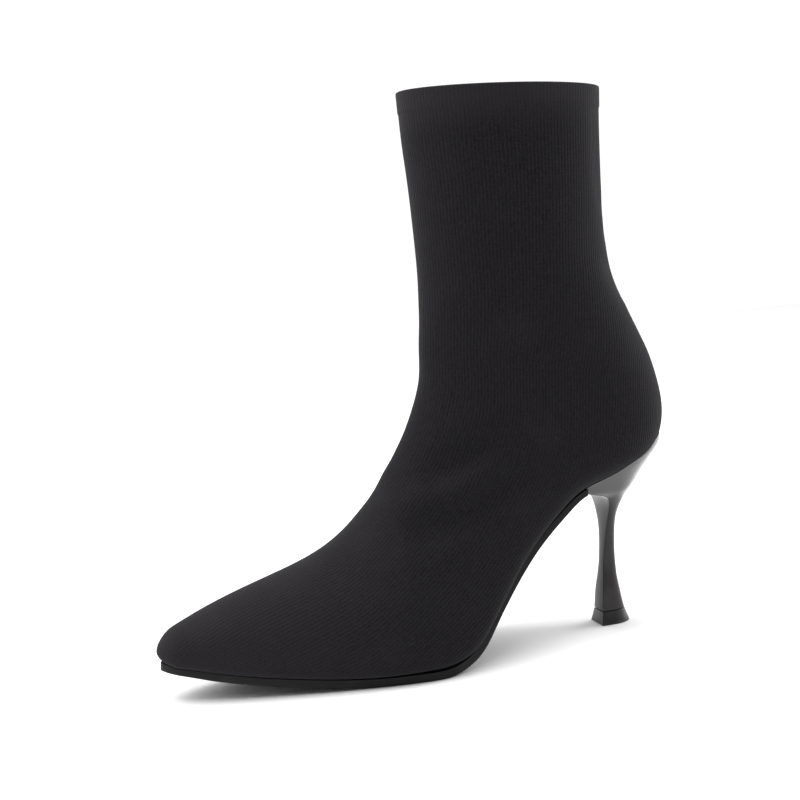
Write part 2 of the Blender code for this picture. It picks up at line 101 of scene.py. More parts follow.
BACKPART = (
    Row(0.694, 0.00, 0.604, 0.0, 45.0, 0.696, 0.97, 0.90, 0.29, 4.2, 1.9, 0.70),
    Row(0.747, 0.00, 0.764, 0.0, 51.0, 0.737, 0.94, 0.89, 0.30, 4.0, 1.95, 0.70),
    Row(0.800, 0.00, 0.896, 0.0, 55.5, 0.802, 0.94, 0.91, 0.31, 3.8, 2.0, 0.70),
    Row(0.857, 0.00, 0.946, 0.0, 58.5, 0.905, 0.96, 0.94, 0.32, 3.4, 2.0, 0.70),
    Row(0.914, 0.00, 0.999, 0.0, 61.0, 1.017, 0.98, 0.97, 0.33, 3.0, 2.0, 0.70),
    Row(0.957, 0.00, 1.056, 0.0, 63.0, 1.108, 0.99, 0.98, 0.34, 2.6, 2.0, 0.70),
    Row(0.978, 0.00, 1.137, 0.0, 65.0, 1.155, 1.00, 0.99, 0.35, 2.3, 2.0, 0.70),
    Row(0.991, 0.00, 1.239, 0.0, 67.5, 1.159, 1.00, 1.00, 0.36, 2.2, 2.0, 0.70),
    Row(0.995, 0.00, 1.362, 0.0, 70.0, 1.146, 1.00, 1.00, 0.38, 2.1, 2.0, 0.70),
    Row(0.988, 0.00, 1.512, 0.0, 73.0, 1.090, 1.00, 1.00, 0.40, 2.05, 2.0, 0.70),
    Row(0.976, 0.00, 1.675, 0.0, 76.0, 1.052, 1.00, 1.00, 0.43, 2.0, 2.0, 0.70),
)
LEG = (
    Row(0.952, 0.00, 1.000, 0.365, 79.0, 1.105, 0.88, 0.88, 0.46, 2.0, 2.0, 0.70),
    Row(0.927, 0.00, 1.000, 0.446, 82.0, 1.020, 0.89, 0.89, 0.48, 2.0, 2.0, 0.70),
    Row(0.906, 0.00, 1.000, 0.534, 84.5, 0.958, 0.90, 0.90, 0.49, 2.0, 2.0, 0.70),
    Row(0.896, 0.00, 1.000, 0.644, 86.5, 0.935, 0.92, 0.92, 0.50, 2.0, 2.0, 0.70),
    Row(0.897, 0.00, 1.000, 0.749, 88.0, 0.942, 0.94, 0.94, 0.50, 2.0, 2.0, 0.70),
    Row(0.899, 0.00, 1.000, 0.872, 87.9, 0.962, 0.97, 0.97, 0.50, 2.0, 2.0, 0.70),
    Row(0.903, 0.00, 1.000, 1.000, 87.7, 0.979, 1.00, 1.00, 0.50, 2.0, 2.0, 0.70),
)
TABLES = (
    (FOREPART, INSTEP_HEIGHT, BALL_WIDTH),
    (BACKPART, ANKLE_DEPTH, HEEL_WIDTH),
    (LEG, COLLAR_DEPTH, COLLAR_WIDTH),
)


def laid_out(tables):
    """The rows of every table in metres and radians, in one array, toe first."""
    rows = []
    for table, depth, width in tables:
        for r in table:
            rows.append((
                TOE_X + r.along * FOOT_LENGTH,
                FLOOR_TO_UPPER + r.spring * TOE_SPRING + r.lift * HEEL_LIFT + r.climb * LEG_HEIGHT,
                math.radians(r.lean),
                r.span * depth,
                r.lateral * width / 2,
                r.medial * width / 2,
                r.belly,
                r.base,
                r.crown,
                r.sole,
            ))
    return np.array(rows)


ROWS = laid_out(TABLES)


def over_points(rows):
    """Where each section ends over the foot or in front of the leg."""
    x = rows[..., 0] - rows[..., 3] * np.sin(rows[..., 2])
    z = rows[..., 1] + rows[..., 3] * np.cos(rows[..., 2])
    return np.stack([x, z], axis=-1)


def row_distances(rows):
    """How far each row lies along the boot, as the mean of its steps under and over it."""
    under = np.linalg.norm(np.diff(rows[:, :2], axis=0), axis=1)
    over = np.linalg.norm(np.diff(over_points(rows), axis=0), axis=1)
    return np.concatenate([[0], np.cumsum((under + over) / 2)])


DISTANCES = row_distances(ROWS)


def smooth(knots, values, at):
    """A curve through the rows that never overshoots them, so what is level stays level."""
    step = np.diff(knots)[:, None]
    rise = np.diff(values, axis=0) / step
    product = rise[:-1] * rise[1:]
    total = np.where(product > 0, rise[:-1] + rise[1:], 1.0)
    inner = np.where(product > 0, 2 * product / total, 0.0)
    slope = np.concatenate([rise[:1], inner, rise[-1:]])
    i = np.clip(np.searchsorted(knots, at, side="right") - 1, 0, len(knots) - 2)
    h = step[i]
    t = ((at - knots[i]) / h[:, 0])[:, None]
    return (
        values[i] * (1 + 2 * t) * (1 - t) ** 2
        + values[i + 1] * t * t * (3 - 2 * t)
        + slope[i] * h * t * (1 - t) ** 2
        - slope[i + 1] * h * t * t * (1 - t)
    )


def sections(distances):
    """The interpolated rows at these distances."""
    return smooth(DISTANCES, ROWS, np.asarray(distances, float))


def rounded_end(depth):
    """The share of its size that a section keeps this far behind a rounded end."""
    return np.sqrt(1 - (1 - np.clip(depth / NOSE_RADIUS, 0, 1)) ** 2)


def ring(row, sectors):
    """Points round one section, from the middle of its underside by way of the inner side."""
    x, z, lean, span, lateral, medial, belly, base, crown, _ = row
    angle = 2 * math.pi * np.arange(sectors) / sectors
    sine, cosine = np.sin(angle), np.cos(angle)
    power = np.where(cosine > 0, base, crown)
    radius = (np.abs(sine) ** power + np.abs(cosine) ** power) ** (1 / power)
    side = sine / radius * np.where(sine > 0, medial, lateral)
    drop = cosine / radius
    height = belly - drop * np.where(cosine > 0, belly, 1 - belly)
    # The nose is rounded by drawing its sections in towards their own widest line.
    keep = rounded_end(x - TOE_X)
    side = side * keep
    reach = (belly + (height - belly) * keep) * span
    return np.stack([x - reach * math.sin(lean), side, z + reach * math.cos(lean)], axis=1)


def underside(row, across):
    """The upper's underside this far across: its height over its own middle line, and its slope."""
    x, _, _, span, lateral, medial, belly, base, _, _ = row
    keep = rounded_end(x - TOE_X)
    half = keep * (medial if across > 0 else lateral)
    out = abs(across) / half
    inside = 1 - out**base
    height = belly * span * (1 - keep * inside ** (1 / base))
    slope = belly * span * keep / half * out ** (base - 1) * inside ** (1 / base - 1)
    return height, math.copysign(slope, across)


EASE_STEP = 0.0020       # the surface is averaged over a few such steps along the boot
EASE_WEIGHTS = (0.04, 0.11, 0.21, 0.28, 0.21, 0.11, 0.04)
EASE_START = 0.012       # the nose keeps its own curve, and the averaging starts behind it
EASE_RUN = 0.025


def eased(distances):
    """The rows at these distances, averaged along the boot so that no section shows as a ring."""
    distances = np.asarray(distances, float)
    ends = np.minimum(distances - EASE_START, DISTANCES[-1] - distances)
    step = EASE_STEP * np.clip(ends / EASE_RUN, 0, 1)
    middle = len(EASE_WEIGHTS) // 2
    return sum(
        weight * sections(distances + (k - middle) * step) for k, weight in enumerate(EASE_WEIGHTS)
    )


def distance_at(depth):
    """The distance of the section that starts this far behind the toe, under the foot."""
    spots = np.linspace(0, DISTANCES[np.argmax(ROWS[:, 0])], 1500)
    return np.interp(depth, sections(spots)[:, 0] - TOE_X, spots)


def boot_stations(rings, nose_rings):
    """Distances of sections from the nose's tip to the top edge, close together at both ends."""
    turns = (np.arange(nose_rings) + 1) / nose_rings * math.pi / 2
    nose = distance_at(NOSE_RADIUS * (1 - np.cos(turns)))
    top = DISTANCES[-1]
    low_hem = top - HEM_HEIGHT
    leg = np.linspace(nose[-1], low_hem - HEM_EDGE, rings)[1:]
    step = low_hem - HEM_EDGE * np.array([0.8, 0.6, 0.4, 0.2, 0.0])
    band = np.linspace(low_hem, top - HEM_ROLL, 8)[1:]
    roll = top - HEM_ROLL * (1 - np.sin(np.linspace(0, math.pi / 2, 6)[1:]))
    return np.concatenate([nose, leg, step, band, roll])


EVEN_PASSES = 110        # passes that draw the line over the foot even, behind the nose and over the ankle
EVEN_PLACES = (0.0, 0.024, 0.045, 0.10, 0.18, 0.40, 0.50, 0.80, 0.92, 1.0)
EVEN_SHARES = (0.0, 0.0, 0.7, 0.7, 0.1, 0.1, 1.0, 1.0, 0.0, 0.0)


def evened(grid, distances):
    """The grid with the line over the foot drawn even, where the sections fan out and bunch."""
    turn = np.arange(grid.shape[1]) / grid.shape[1] * 2 * math.pi
    front = np.clip(0.5 - 0.75 * np.cos(turn), 0.03, 1)
    along = np.interp(distances / DISTANCES[-1], EVEN_PLACES, EVEN_SHARES)
    share = (along[:, None] * front)[1:-1, :, None]
    even = grid.copy()
    for _ in range(EVEN_PASSES):
        middle = (even[:-2] + 2 * even[1:-1] + even[2:]) / 4
        even[1:-1] += share * (middle - even[1:-1])
    return even


def grid_normals(grid):
    """Outward directions of a grid of closed rings."""
    along = np.gradient(grid, axis=0)
    round_it = np.roll(grid, -1, axis=1) - np.roll(grid, 1, axis=1)
    normal = np.cross(round_it, along)
    return normal / np.linalg.norm(normal, axis=2, keepdims=True)


class Fold(NamedTuple):
    """A soft trough or ridge in the knit, drawn as a line seen from the side."""

    side: int        # -1 on the outer side, +1 on the inner side
    height: float    # metres, negative for a trough
    width: float     # metres from its middle line to where it has all but gone
    line: tuple      # x and z in metres from one end to the other


FOLDS = (
    # The ankle's bend: a hollow, the roll of knit below it, and the hollow under that.
    Fold(-1, -0.0030, 0.0075, (
        (-0.094, 0.083), (-0.082, 0.088), (-0.070, 0.093), (-0.059, 0.0985), (-0.050, 0.104),
    )),
    Fold(-1, 0.0024, 0.0055, (
        (-0.112, 0.069), (-0.099, 0.0755), (-0.084, 0.0790), (-0.070, 0.0845), (-0.056, 0.092),
    )),
    Fold(-1, -0.0024, 0.0060, (
        (-0.106, 0.059), (-0.090, 0.0640), (-0.075, 0.0685), (-0.062, 0.0770), (-0.050, 0.087),
    )),
    Fold(-1, 0.0010, 0.0060, ((-0.101, 0.049), (-0.086, 0.0530), (-0.070, 0.0590))),
    Fold(1, -0.0014, 0.0065, ((-0.097, 0.081), (-0.084, 0.0850), (-0.070, 0.0895), (-0.056, 0.096))),
    Fold(1, 0.0010, 0.0050, ((-0.112, 0.069), (-0.097, 0.0740), (-0.080, 0.0770), (-0.064, 0.083))),
    Fold(1, -0.0009, 0.0052, ((-0.104, 0.058), (-0.086, 0.0630), (-0.068, 0.0710))),
    # Slack over the ball, hardly more than a shade.
    Fold(-1, -0.0012, 0.0055, ((-0.140, 0.052), (-0.126, 0.0470), (-0.111, 0.0410))),
    Fold(1, -0.0004, 0.0050, ((-0.138, 0.050), (-0.122, 0.0450), (-0.108, 0.0390))),
    # The leg stands empty: shallow hollows fall from the top edge behind the shin and before the back.
    Fold(-1, -0.0010, 0.0120, ((-0.052, 0.246), (-0.052, 0.205), (-0.050, 0.165), (-0.048, 0.130))),
    Fold(-1, -0.0005, 0.0042, ((-0.001, 0.246), (-0.0015, 0.226), (-0.001, 0.205), (0.003, 0.190))),
    Fold(1, -0.0009, 0.0120, ((-0.046, 0.244), (-0.047, 0.205), (-0.046, 0.160))),
    # A small dent over the counter, where the leg bends back.
    Fold(-1, -0.0007, 0.0060, ((0.000, 0.176), (0.006, 0.163), (0.013, 0.151))),
    Fold(1, -0.0006, 0.0060, ((0.001, 0.172), (0.007, 0.160))),
)
FOLD_POINTS = 24
SIDE_FADE = 0.011        # a fold dies out this far before the boot's middle plane


def fold_relief(points):
    """How far each point is pushed out by the folds."""
    flat = points.reshape(-1, 3)
    relief = np.zeros(len(flat))
    for fold in FOLDS:
        line = np.array(fold.line)
        along = np.linspace(0, len(line) - 1, FOLD_POINTS)
        route = smooth(np.arange(len(line), dtype=float), line, along)
        gap = np.linalg.norm(flat[:, None, [0, 2]] - route[None], axis=2)
        nearest = gap.argmin(axis=1)
        share = nearest / (FOLD_POINTS - 1)
        fade = np.clip(4 * share * (1 - share), 0, 1) ** 0.7
        aside = np.clip(fold.side * flat[:, 1] / SIDE_FADE, 0, 1)
        aside = aside * aside * (3 - 2 * aside)
        relief += fold.height * np.exp(-((gap.min(axis=1) / fold.width) ** 2)) * fade * aside
    return relief.reshape(points.shape[:-1])


def hem_relief(distances):
    """The turned hem stands out from the leg and rolls in at its top edge."""
    below = DISTANCES[-1] - distances
    stepped = np.clip((HEM_HEIGHT + HEM_EDGE - below) / HEM_EDGE, 0, 1)
    stepped = HEM_STEP * stepped * stepped * (3 - 2 * stepped)
    rolled = np.clip(1 - below / HEM_ROLL, 0, 1)
    return stepped - HEM_ROLL * (1 - np.sqrt(1 - rolled**2))


# Rib spacing in metres at places along the boot, the knit being stretched most at the top edge.
RIB_PLACES = (0.0, 0.30, 0.55, 0.66, 0.80, 1.0)
RIB_PITCHES = (0.00162, 0.00170, 0.00158, 0.00148, 0.00156, 0.00176)
COURSE_PITCH = 0.0012    # from one stitch to the next along a rib


def rib_count(grid, distances):
    """Ribs counted from the middle line over the foot, down both sides, one column more than the grid."""
    half = grid.shape[1] // 2
    steps = np.linalg.norm(np.roll(grid, -1, axis=1) - grid, axis=2)
    right = np.cumsum(steps[:, half:], axis=1)
    left = np.cumsum(steps[:, :half][:, ::-1], axis=1)[:, ::-1]
    arc = np.concatenate([left, np.zeros((len(grid), 1)), right], axis=1)
    pitch = np.interp(distances / DISTANCES[-1], RIB_PLACES, RIB_PITCHES)
    return arc / pitch[:, None]


def boot_skin(rings, nose_rings, sectors, grow=0.0, folded=True):
    """Distances, a grid of points on the knit's outer face moved out by grow, and its nose tip."""
    distances = boot_stations(rings, nose_rings)
    grid = evened(np.array([ring(row, sectors) for row in eased(distances)]), distances)
    normal = grid_normals(grid)
    push = np.full(grid.shape[:2], float(grow))
    if folded:
        push += fold_relief(grid) + hem_relief(distances)[:, None]
    tip = ring(sections([0.0])[0], sectors)[0] - np.array([grow, 0, 0])
    return distances, grid + normal * push[..., None], tip


def new_piece(name, points, faces):
    """A mesh object with its faces turned outwards and shaded smooth."""
    mesh = bpy.data.meshes.new(name)
    mesh.from_pydata(np.asarray(points, float).tolist(), [], faces)
    turned = bmesh.new()
    turned.from_mesh(mesh)
    bmesh.ops.recalc_face_normals(turned, faces=turned.faces)
    turned.to_mesh(mesh)
    turned.free()
    mesh.shade_smooth()
    piece = bpy.data.objects.new(name, mesh)
    bpy.context.scene.collection.objects.link(piece)
    return piece


def ring_quads(first, rings, size):
    """Quads between successive closed rings of points."""
    i, j = np.meshgrid(np.arange(rings - 1), np.arange(size), indexing="ij")
    near, ahead = first + i * size, first + (i + 1) * size
    quads = np.stack([near + j, near + (j + 1) % size, ahead + (j + 1) % size, ahead + j], axis=-1)
    return quads.reshape(-1, 4).tolist()


UPPER_SECTORS = 180
UPPER_RINGS = 232
NOSE_RINGS = 12


def map_ribs(mesh, ribs, courses):
    """A UV map that counts ribs round the knit and courses along it, the same on both faces of the wall."""
    count, size = len(courses), ribs.shape[1] - 1
    corners = np.empty(len(mesh.loops), int)
    mesh.loops.foreach_get("vertex_index", corners)
    sizes = [polygon.loop_total for polygon in mesh.polygons]
    owner = np.repeat(np.arange(len(sizes)), sizes)
    station, column = np.divmod(corners % (count * size), size)
    # Where a face closes its ring, column zero counts as the one after the last, so that ribs run on.
    closing = np.zeros(len(sizes), bool)
    np.logical_or.at(closing, owner, column == size - 1)
    column = np.where(closing[owner] & (column == 0), size, column)
    spots = np.stack([ribs[station, column], courses[station]], axis=1)
    spots[corners >= 2 * count * size] = 0
    layer = mesh.uv_layers.new(name="ribs")
    layer.data.foreach_set("uv", spots.astype(np.float32).ravel())


def knit_upper():
    """The knit tube: outer face, inner face and the rolled top edge, with ribs and courses as its UV map."""
    distances, outer, tip = boot_skin(UPPER_RINGS, NOSE_RINGS, UPPER_SECTORS)
    _, inner, inner_tip = boot_skin(UPPER_RINGS, NOSE_RINGS, UPPER_SECTORS, -WALL)
    count, size = outer.shape[:2]
    shift = count * size
    points = np.concatenate([outer.reshape(-1, 3), inner.reshape(-1, 3), [tip, inner_tip]])
    faces = ring_quads(0, count, size) + ring_quads(shift, count, size)
    top, low = (count - 1) * size, shift + (count - 1) * size
    faces += [(top + j, top + (j + 1) % size, low + (j + 1) % size, low + j) for j in range(size)]
    faces += [(2 * shift, j, (j + 1) % size) for j in range(size)]
    faces += [(2 * shift + 1, shift + j, shift + (j + 1) % size) for j in range(size)]
    piece = new_piece("knit_upper", points, faces)
    map_ribs(piece.data, rib_count(outer, distances), distances / COURSE_PITCH)
    return piece


class Wire:
    """A shader socket in a Python expression: each operation on it adds its Math node."""

    def __init__(self, nodes, socket):
        self.nodes = nodes
        self.socket = socket

    def math(self, operation, *others):
        """A Math node on this value and any others."""
        return self.nodes.node("ShaderNodeMath", {"operation": operation}, dict(enumerate((self, *others))))

    def __add__(self, other):
        return self.math("ADD", other)

    def __sub__(self, other):
        return self.math("SUBTRACT", other)

    def __rsub__(self, other):
        return self.nodes.node("ShaderNodeMath", {"operation": "SUBTRACT"}, {0: other, 1: self})

    def __mul__(self, other):
        return self.math("MULTIPLY", other)

    def __pow__(self, other):
        return self.math("POWER", other)

    def __abs__(self):
        return self.math("ABSOLUTE")

    __radd__ = __add__
    __rmul__ = __mul__


class Nodes:
    """The node tree of a material or of the room."""

    def __init__(self, tree):
        self.tree = tree

    def node(self, kind, settings, sockets, output=0):
        """Any node: its settings first, then the values or links of its sockets."""
        made = self.tree.nodes.new(kind)
        for name, value in settings.items():
            setattr(made, name, value)
        for key, value in sockets.items():
            if isinstance(value, Wire):
                self.tree.links.new(value.socket, made.inputs[key])
            else:
                made.inputs[key].default_value = value
        return Wire(self, made.outputs[output])

    def parts(self, vector):
        """The three numbers of a vector."""
        split = self.node("ShaderNodeSeparateXYZ", {}, {0: vector})
        return [Wire(self, socket) for socket in split.socket.node.outputs]

    def mix(self, share, one, other):
        """From one colour to the other."""
        sockets = {0: share, 6: one, 7: other}
        settings = {"data_type": "RGBA", "clamp_factor": True}
        return self.node("ShaderNodeMix", settings, sockets, output=2)

    def spread(self, value, low, high, low_out, high_out):
        """A value mapped smoothly from one range to another."""
        settings = {"interpolation_type": "SMOOTHSTEP"}
        sockets = {"Value": value, 1: low, 2: high, 3: low_out, 4: high_out}
        return self.node("ShaderNodeMapRange", settings, sockets)

    def noise(self, place, scale, detail):
        """A soft noise of this many spots to the metre."""
        return self.node("ShaderNodeTexNoise", {}, {"Vector": place, "Scale": scale, "Detail": detail})


class Finish(Nodes):
    """A material being made: one Principled shader and the nodes that feed it."""

    def __init__(self, name, **fixed):
        self.material = bpy.data.materials.new(name)
        self.material.use_nodes = True
        super().__init__(self.material.node_tree)
        self.shader = self.tree.nodes["Principled BSDF"]
        for socket, value in fixed.items():
            self.shader.inputs[socket.replace("_", " ")].default_value = value

    def place(self):
        """Where a point lies on its piece, in metres."""
        return self.node("ShaderNodeTexCoord", {}, {}, output="Object")

    def feed(self, socket, wire):
        self.tree.links.new(wire.socket, self.shader.inputs[socket])

    def relief(self, height, depth, before=None):
        """A bump of this depth in metres, on top of any bump before it."""
        sockets = {"Strength": 1.0, "Distance": depth, "Height": height}
        if before:
            sockets["Normal"] = before
        return self.node("ShaderNodeBump", {}, sockets)


KNIT_DARK = (0.0046, 0.0042, 0.0048, 1)
KNIT_LIGHT = (0.0188, 0.0172, 0.0192, 1)
# Paler knit, used for random rubbed wear and for the painted highlight over the toe and vamp.
KNIT_WORN_AND_HIGHLIT = (0.0250, 0.0230, 0.0252, 1)
RIB_DEPTH = 0.00010
STITCH_DEPTH = 0.00002
FUZZ_DEPTH = 0.00010
RIB_WANDER = 0.22        # how far the ribs stray sideways, in ribs
COURSE_WANDER = 1.2      # and the courses along them, in courses
TOE_HIGHLIGHT_FROM = -0.195   # the knit is painted paler in front of here, a painted highlight over the toe and vamp, and fades to its own black
TOE_HIGHLIGHT_TO = -0.085
HEM_PALE_HEIGHT = 0.020  # the knit grows paler towards the top edge over this height
HEM_TOP_Z = FLOOR_TO_UPPER + HEEL_LIFT + LEG_HEIGHT


def rib_knit():
    """Matt black rib knit: rounded ribs, tiny stitches along them and a short fuzz."""
    knit = Finish(
        "black_rib_knit", Metallic=0.0, Sheen_Weight=0.05, Sheen_Roughness=0.45,
        Specular_IOR_Level=0.05, Sheen_Tint=(0.85, 0.84, 0.90, 1),
    )
    rib, course, _ = knit.parts(knit.node("ShaderNodeUVMap", {"uv_map": "ribs"}, {}))
    place = knit.place()
    ahead, _, height = knit.parts(place)
    stray = knit.noise(place, 45.0, 2.0) - 0.5
    ridge = ((rib + stray * RIB_WANDER) * (2 * math.pi)).math("COSINE") * 0.5 + 0.5
    slant = abs(rib.math("FRACT") - 0.5)
    stitch = ((course + slant + stray * COURSE_WANDER) * (2 * math.pi)).math("SINE") * 0.5 + 0.5
    fuzz = knit.noise(place, 1300.0, 4.0)
    # The rib grooves and the gaps between stitches are painted darker, a painted shade, over the fuzz's
    # random tone.
    groove_shade_and_fuzz = ridge * 0.17 + stitch * 0.05 + fuzz * 0.95
    colour = knit.mix(knit.spread(groove_shade_and_fuzz, 0.20, 0.95, 0.0, 1.0), KNIT_DARK, KNIT_LIGHT)
    # A painted highlight over the toe and vamp, a paling towards the top edge and random rubbed patches all
    # lean towards the paler knit colour.
    toe_highlight = knit.spread(ahead, TOE_HIGHLIGHT_FROM, TOE_HIGHLIGHT_TO, 0.44, 0.0)
    paler_to_top = knit.spread(height, HEM_TOP_Z - HEM_PALE_HEIGHT, HEM_TOP_Z, 0.0, 0.55)
    rubbed = knit.spread(knit.noise(place, 38.0, 3.0), 0.50, 0.75, 0.0, 0.16)
    knit.feed("Base Color", knit.mix(rubbed + toe_highlight + paler_to_top, colour, KNIT_WORN_AND_HIGHLIT))
    knit.feed("Roughness", knit.spread(fuzz, 0.2, 0.8, 0.78, 0.95))
    ribbed = knit.relief(ridge**0.8, RIB_DEPTH)
    stitched = knit.relief(stitch, STITCH_DEPTH, ribbed)
    knit.feed("Normal", knit.relief(fuzz, FUZZ_DEPTH, stitched))
    return knit.material


upper = knit_upper()
upper.data.materials.append(rib_knit())
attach(upper, "root")
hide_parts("upper")


# THE OUTSOLE
# A thin flat sole of black rubber, cut to the edge of the last and cemented on. It thins behind the tread,
# climbs the arch to the heel's front and shows from the side as a fine edge.

WAIST_THICKNESS = 0.0020
SOLE_TOE_INSET = 0.0014  # how far the toe overhangs the outsole
SOLE_EDGE_ROUND = 0.0008
SOLE_LIP = 0.0012        # how high the outsole's edge climbs round the upper
THINNING = 0.25          # share of the heel's lift over which the tread thins to the waist
CUP_DEPTH = 0.042        # breast to the back of the heel's cup
CUP_FRONT = 0.381        # the breast, in front of the top piece's middle, as a share of CUP_DEPTH
BREAST_X = -CUP_FRONT * CUP_DEPTH
SOLE_RINGS = 150
SOLE_NOSE_RINGS = 14
SOLE_TIP_TURN = 0.08     # the first section behind the tip, as a share of a quarter turn
EDGE_TURNS = (0.0, 0.25, 0.5, 0.75, 1.0)
HALF_SHARES = (1.0, 0.97, 0.92, 0.85, 0.75, 0.6, 0.4, 0.2)
SOLE_SHARES = HALF_SHARES + (0.0,) + tuple(-share for share in HALF_SHARES[::-1])
SHARP_ANGLE = 40         # degrees between two faces above which their edge is shaded sharp


def along_floor(distances):
    """For each distance: its row, the way on along the underside's middle line, and the way up from it."""
    nudge = 1e-5
    ahead = eased(distances + nudge)[:, :2] - eased(distances - nudge)[:, :2]
    ahead /= np.linalg.norm(ahead, axis=1, keepdims=True)
    return zip(eased(distances), ahead, np.stack([-ahead[:, 1], ahead[:, 0]], axis=1))


def at_section(row, up, across, height, lift):
    """A point of a section: this high along the section's own lean, then lifted square to the floor line."""
    lean = row[2]
    x = row[0] - height * math.sin(lean) + lift * up[0]
    z = row[1] + height * math.cos(lean) + lift * up[1]
    return x, across, z


def lofted(name, rings):
    """A solid through closed rings of points, flat at both ends, its hard edges kept."""
    size = len(rings[0])
    points = [point for ring_points in rings for point in ring_points]
    faces = ring_quads(0, len(rings), size)
    faces.append(tuple(range(size)))
    faces.append(tuple(range((len(rings) - 1) * size, len(rings) * size)))
    piece = new_piece(name, points, faces)
    piece.data.set_sharp_from_angle(angle=math.radians(SHARP_ANGLE))
    return piece


def thin_outsole():
    """The outsole: rounded lower edges, a flat tread and a top that hugs the upper's underside."""
    end = BREAST_X - GAP
    turns = np.linspace(SOLE_TIP_TURN, 1, SOLE_NOSE_RINGS) * math.pi / 2
    nose = distance_at(SOLE_TOE_INSET + NOSE_RADIUS * (1 - np.cos(turns)))
    waist = np.linspace(nose[-1], distance_at(end - TOE_X), SOLE_RINGS)[1:]
    rings = []
    for row, ahead, up in along_floor(np.concatenate([nose, waist])):
        keep = row[9] * rounded_end(row[0] - TOE_X - SOLE_TOE_INSET)
        lateral, medial = keep * row[4], keep * row[5]
        thinned = min(1.0, max(0.0, (row[1] - FLOOR_TO_UPPER) / (THINNING * HEEL_LIFT)))
        low = -GAP - TREAD_THICKNESS + thinned * (TREAD_THICKNESS - WAIST_THICKNESS)
        corner = min(SOLE_EDGE_ROUND, lateral / 2, medial / 2)
        cuts = [
            (corner * (1 - math.cos(turn * math.pi / 2)), corner * (1 - math.sin(turn * math.pi / 2)))
            for turn in EDGE_TURNS
        ]
        outline = [(inward - lateral, low + rise) for inward, rise in cuts]
        outline += [(-lateral / 2, low), (0.0, low), (medial / 2, low)]
        outline += [(medial - inward, low + rise) for inward, rise in cuts[::-1]]
        points = [at_section(row, up, across, 0, lift) for across, lift in outline]
        for share in SOLE_SHARES:
            across = share * (medial if share > 0 else lateral)
            height = min(underside(row, across)[0], SOLE_LIP)
            points.append(at_section(row, up, across, height, -GAP))
        rings.append(points)
    slide = [(end - x) / ahead[0] for x, _, _ in rings[-1]]
    rings[-1] = [(end, y, z + step * ahead[1]) for (_, y, z), step in zip(rings[-1], slide)]
    return lofted("thin_outsole", rings)


SOLE_BLACK = (0.0150, 0.0139, 0.0148, 1)
SOLE_SCUFFED = (0.0210, 0.0195, 0.0205, 1)
SOLE_GRAIN = 0.00005


def sole_rubber():
    """Dense black rubber: a satin face with a fine moulded grain and faint scuffs."""
    rubber = Finish("black_sole_rubber", Metallic=0.0, Specular_IOR_Level=0.10)
    place = rubber.place()
    grain = rubber.node("ShaderNodeTexVoronoi", {}, {"Vector": place, "Scale": 900.0})
    cloud = rubber.noise(place, 70.0, 5.0)
    scuffed = rubber.spread(cloud, 0.48, 0.72, 0.0, 1.0)
    rubber.feed("Base Color", rubber.mix(scuffed, SOLE_BLACK, SOLE_SCUFFED))
    rubber.feed("Roughness", rubber.spread(cloud, 0.3, 0.75, 0.50, 0.68))
    rubber.feed("Normal", rubber.relief(grain, SOLE_GRAIN))
    return rubber.material


outsole = thin_outsole()
outsole.data.materials.append(sole_rubber())
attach(outsole, "root")
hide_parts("outsole")


# THE INSOLE
# A board covered in dark lining cloth, lying inside the knit over its turned-in margin. It shows only
# from above, down the leg.

THREAD_PITCH = 0.0006    # two threads of the weave
LINING_DARK = (0.030, 0.029, 0.028, 1)
LINING_LIGHT = (0.060, 0.058, 0.055, 1)
WEAVE_DEPTH = 0.00008


def lining_cloth():
    """Dark plain-woven lining: threads crossing like a fine basket."""
    cloth = Finish("dark_lining_cloth", Metallic=0.0, Specular_IOR_Level=0.3, Sheen_Weight=0.1)
    ahead, across, _ = cloth.parts(cloth.place())
    turn = 2 * math.pi / THREAD_PITCH
    weave = (ahead * turn).math("SINE") * (across * turn).math("SINE") * 0.5 + 0.5
    cloth.feed("Base Color", cloth.mix(weave, LINING_DARK, LINING_LIGHT))
    cloth.feed("Roughness", cloth.spread(weave, 0.0, 1.0, 0.82, 0.70))
    cloth.feed("Normal", cloth.relief(weave, WEAVE_DEPTH))
    return cloth.material


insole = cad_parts["insole"]
insole.data.materials.clear()
insole.data.materials.append(lining_cloth())


# THE HEEL
# One moulding in black gloss lacquer: a cup that takes the seat of the boot, a narrow waist and a flare
# down to the tip, with a flat front. It is screwed to the boot from inside.

TOP_PIECE_THICKNESS = 0.0062
TOP_PIECE_DEPTH = 0.0165
TOP_PIECE_WIDTH = 0.0137
NECK_DEPTH = 0.0072
NECK_WIDTH = 0.0056
CUP_WIDTH = 0.0480
SEAT_HEIGHT = FLOOR_TO_UPPER + HEEL_LIFT


class HeelRow(NamedTuple):
    """One level section of the heel, from its top piece up into the cup."""

    up: float        # height, as a share of the seat's height over the tread
    front: float     # reach towards the toe and the back from the middle of the
    back: float      # top piece, as shares of the table's own depth
    half: float      # half width, as a share of the table's own width
    breast: float    # half width of the flat front, as a share of the section's


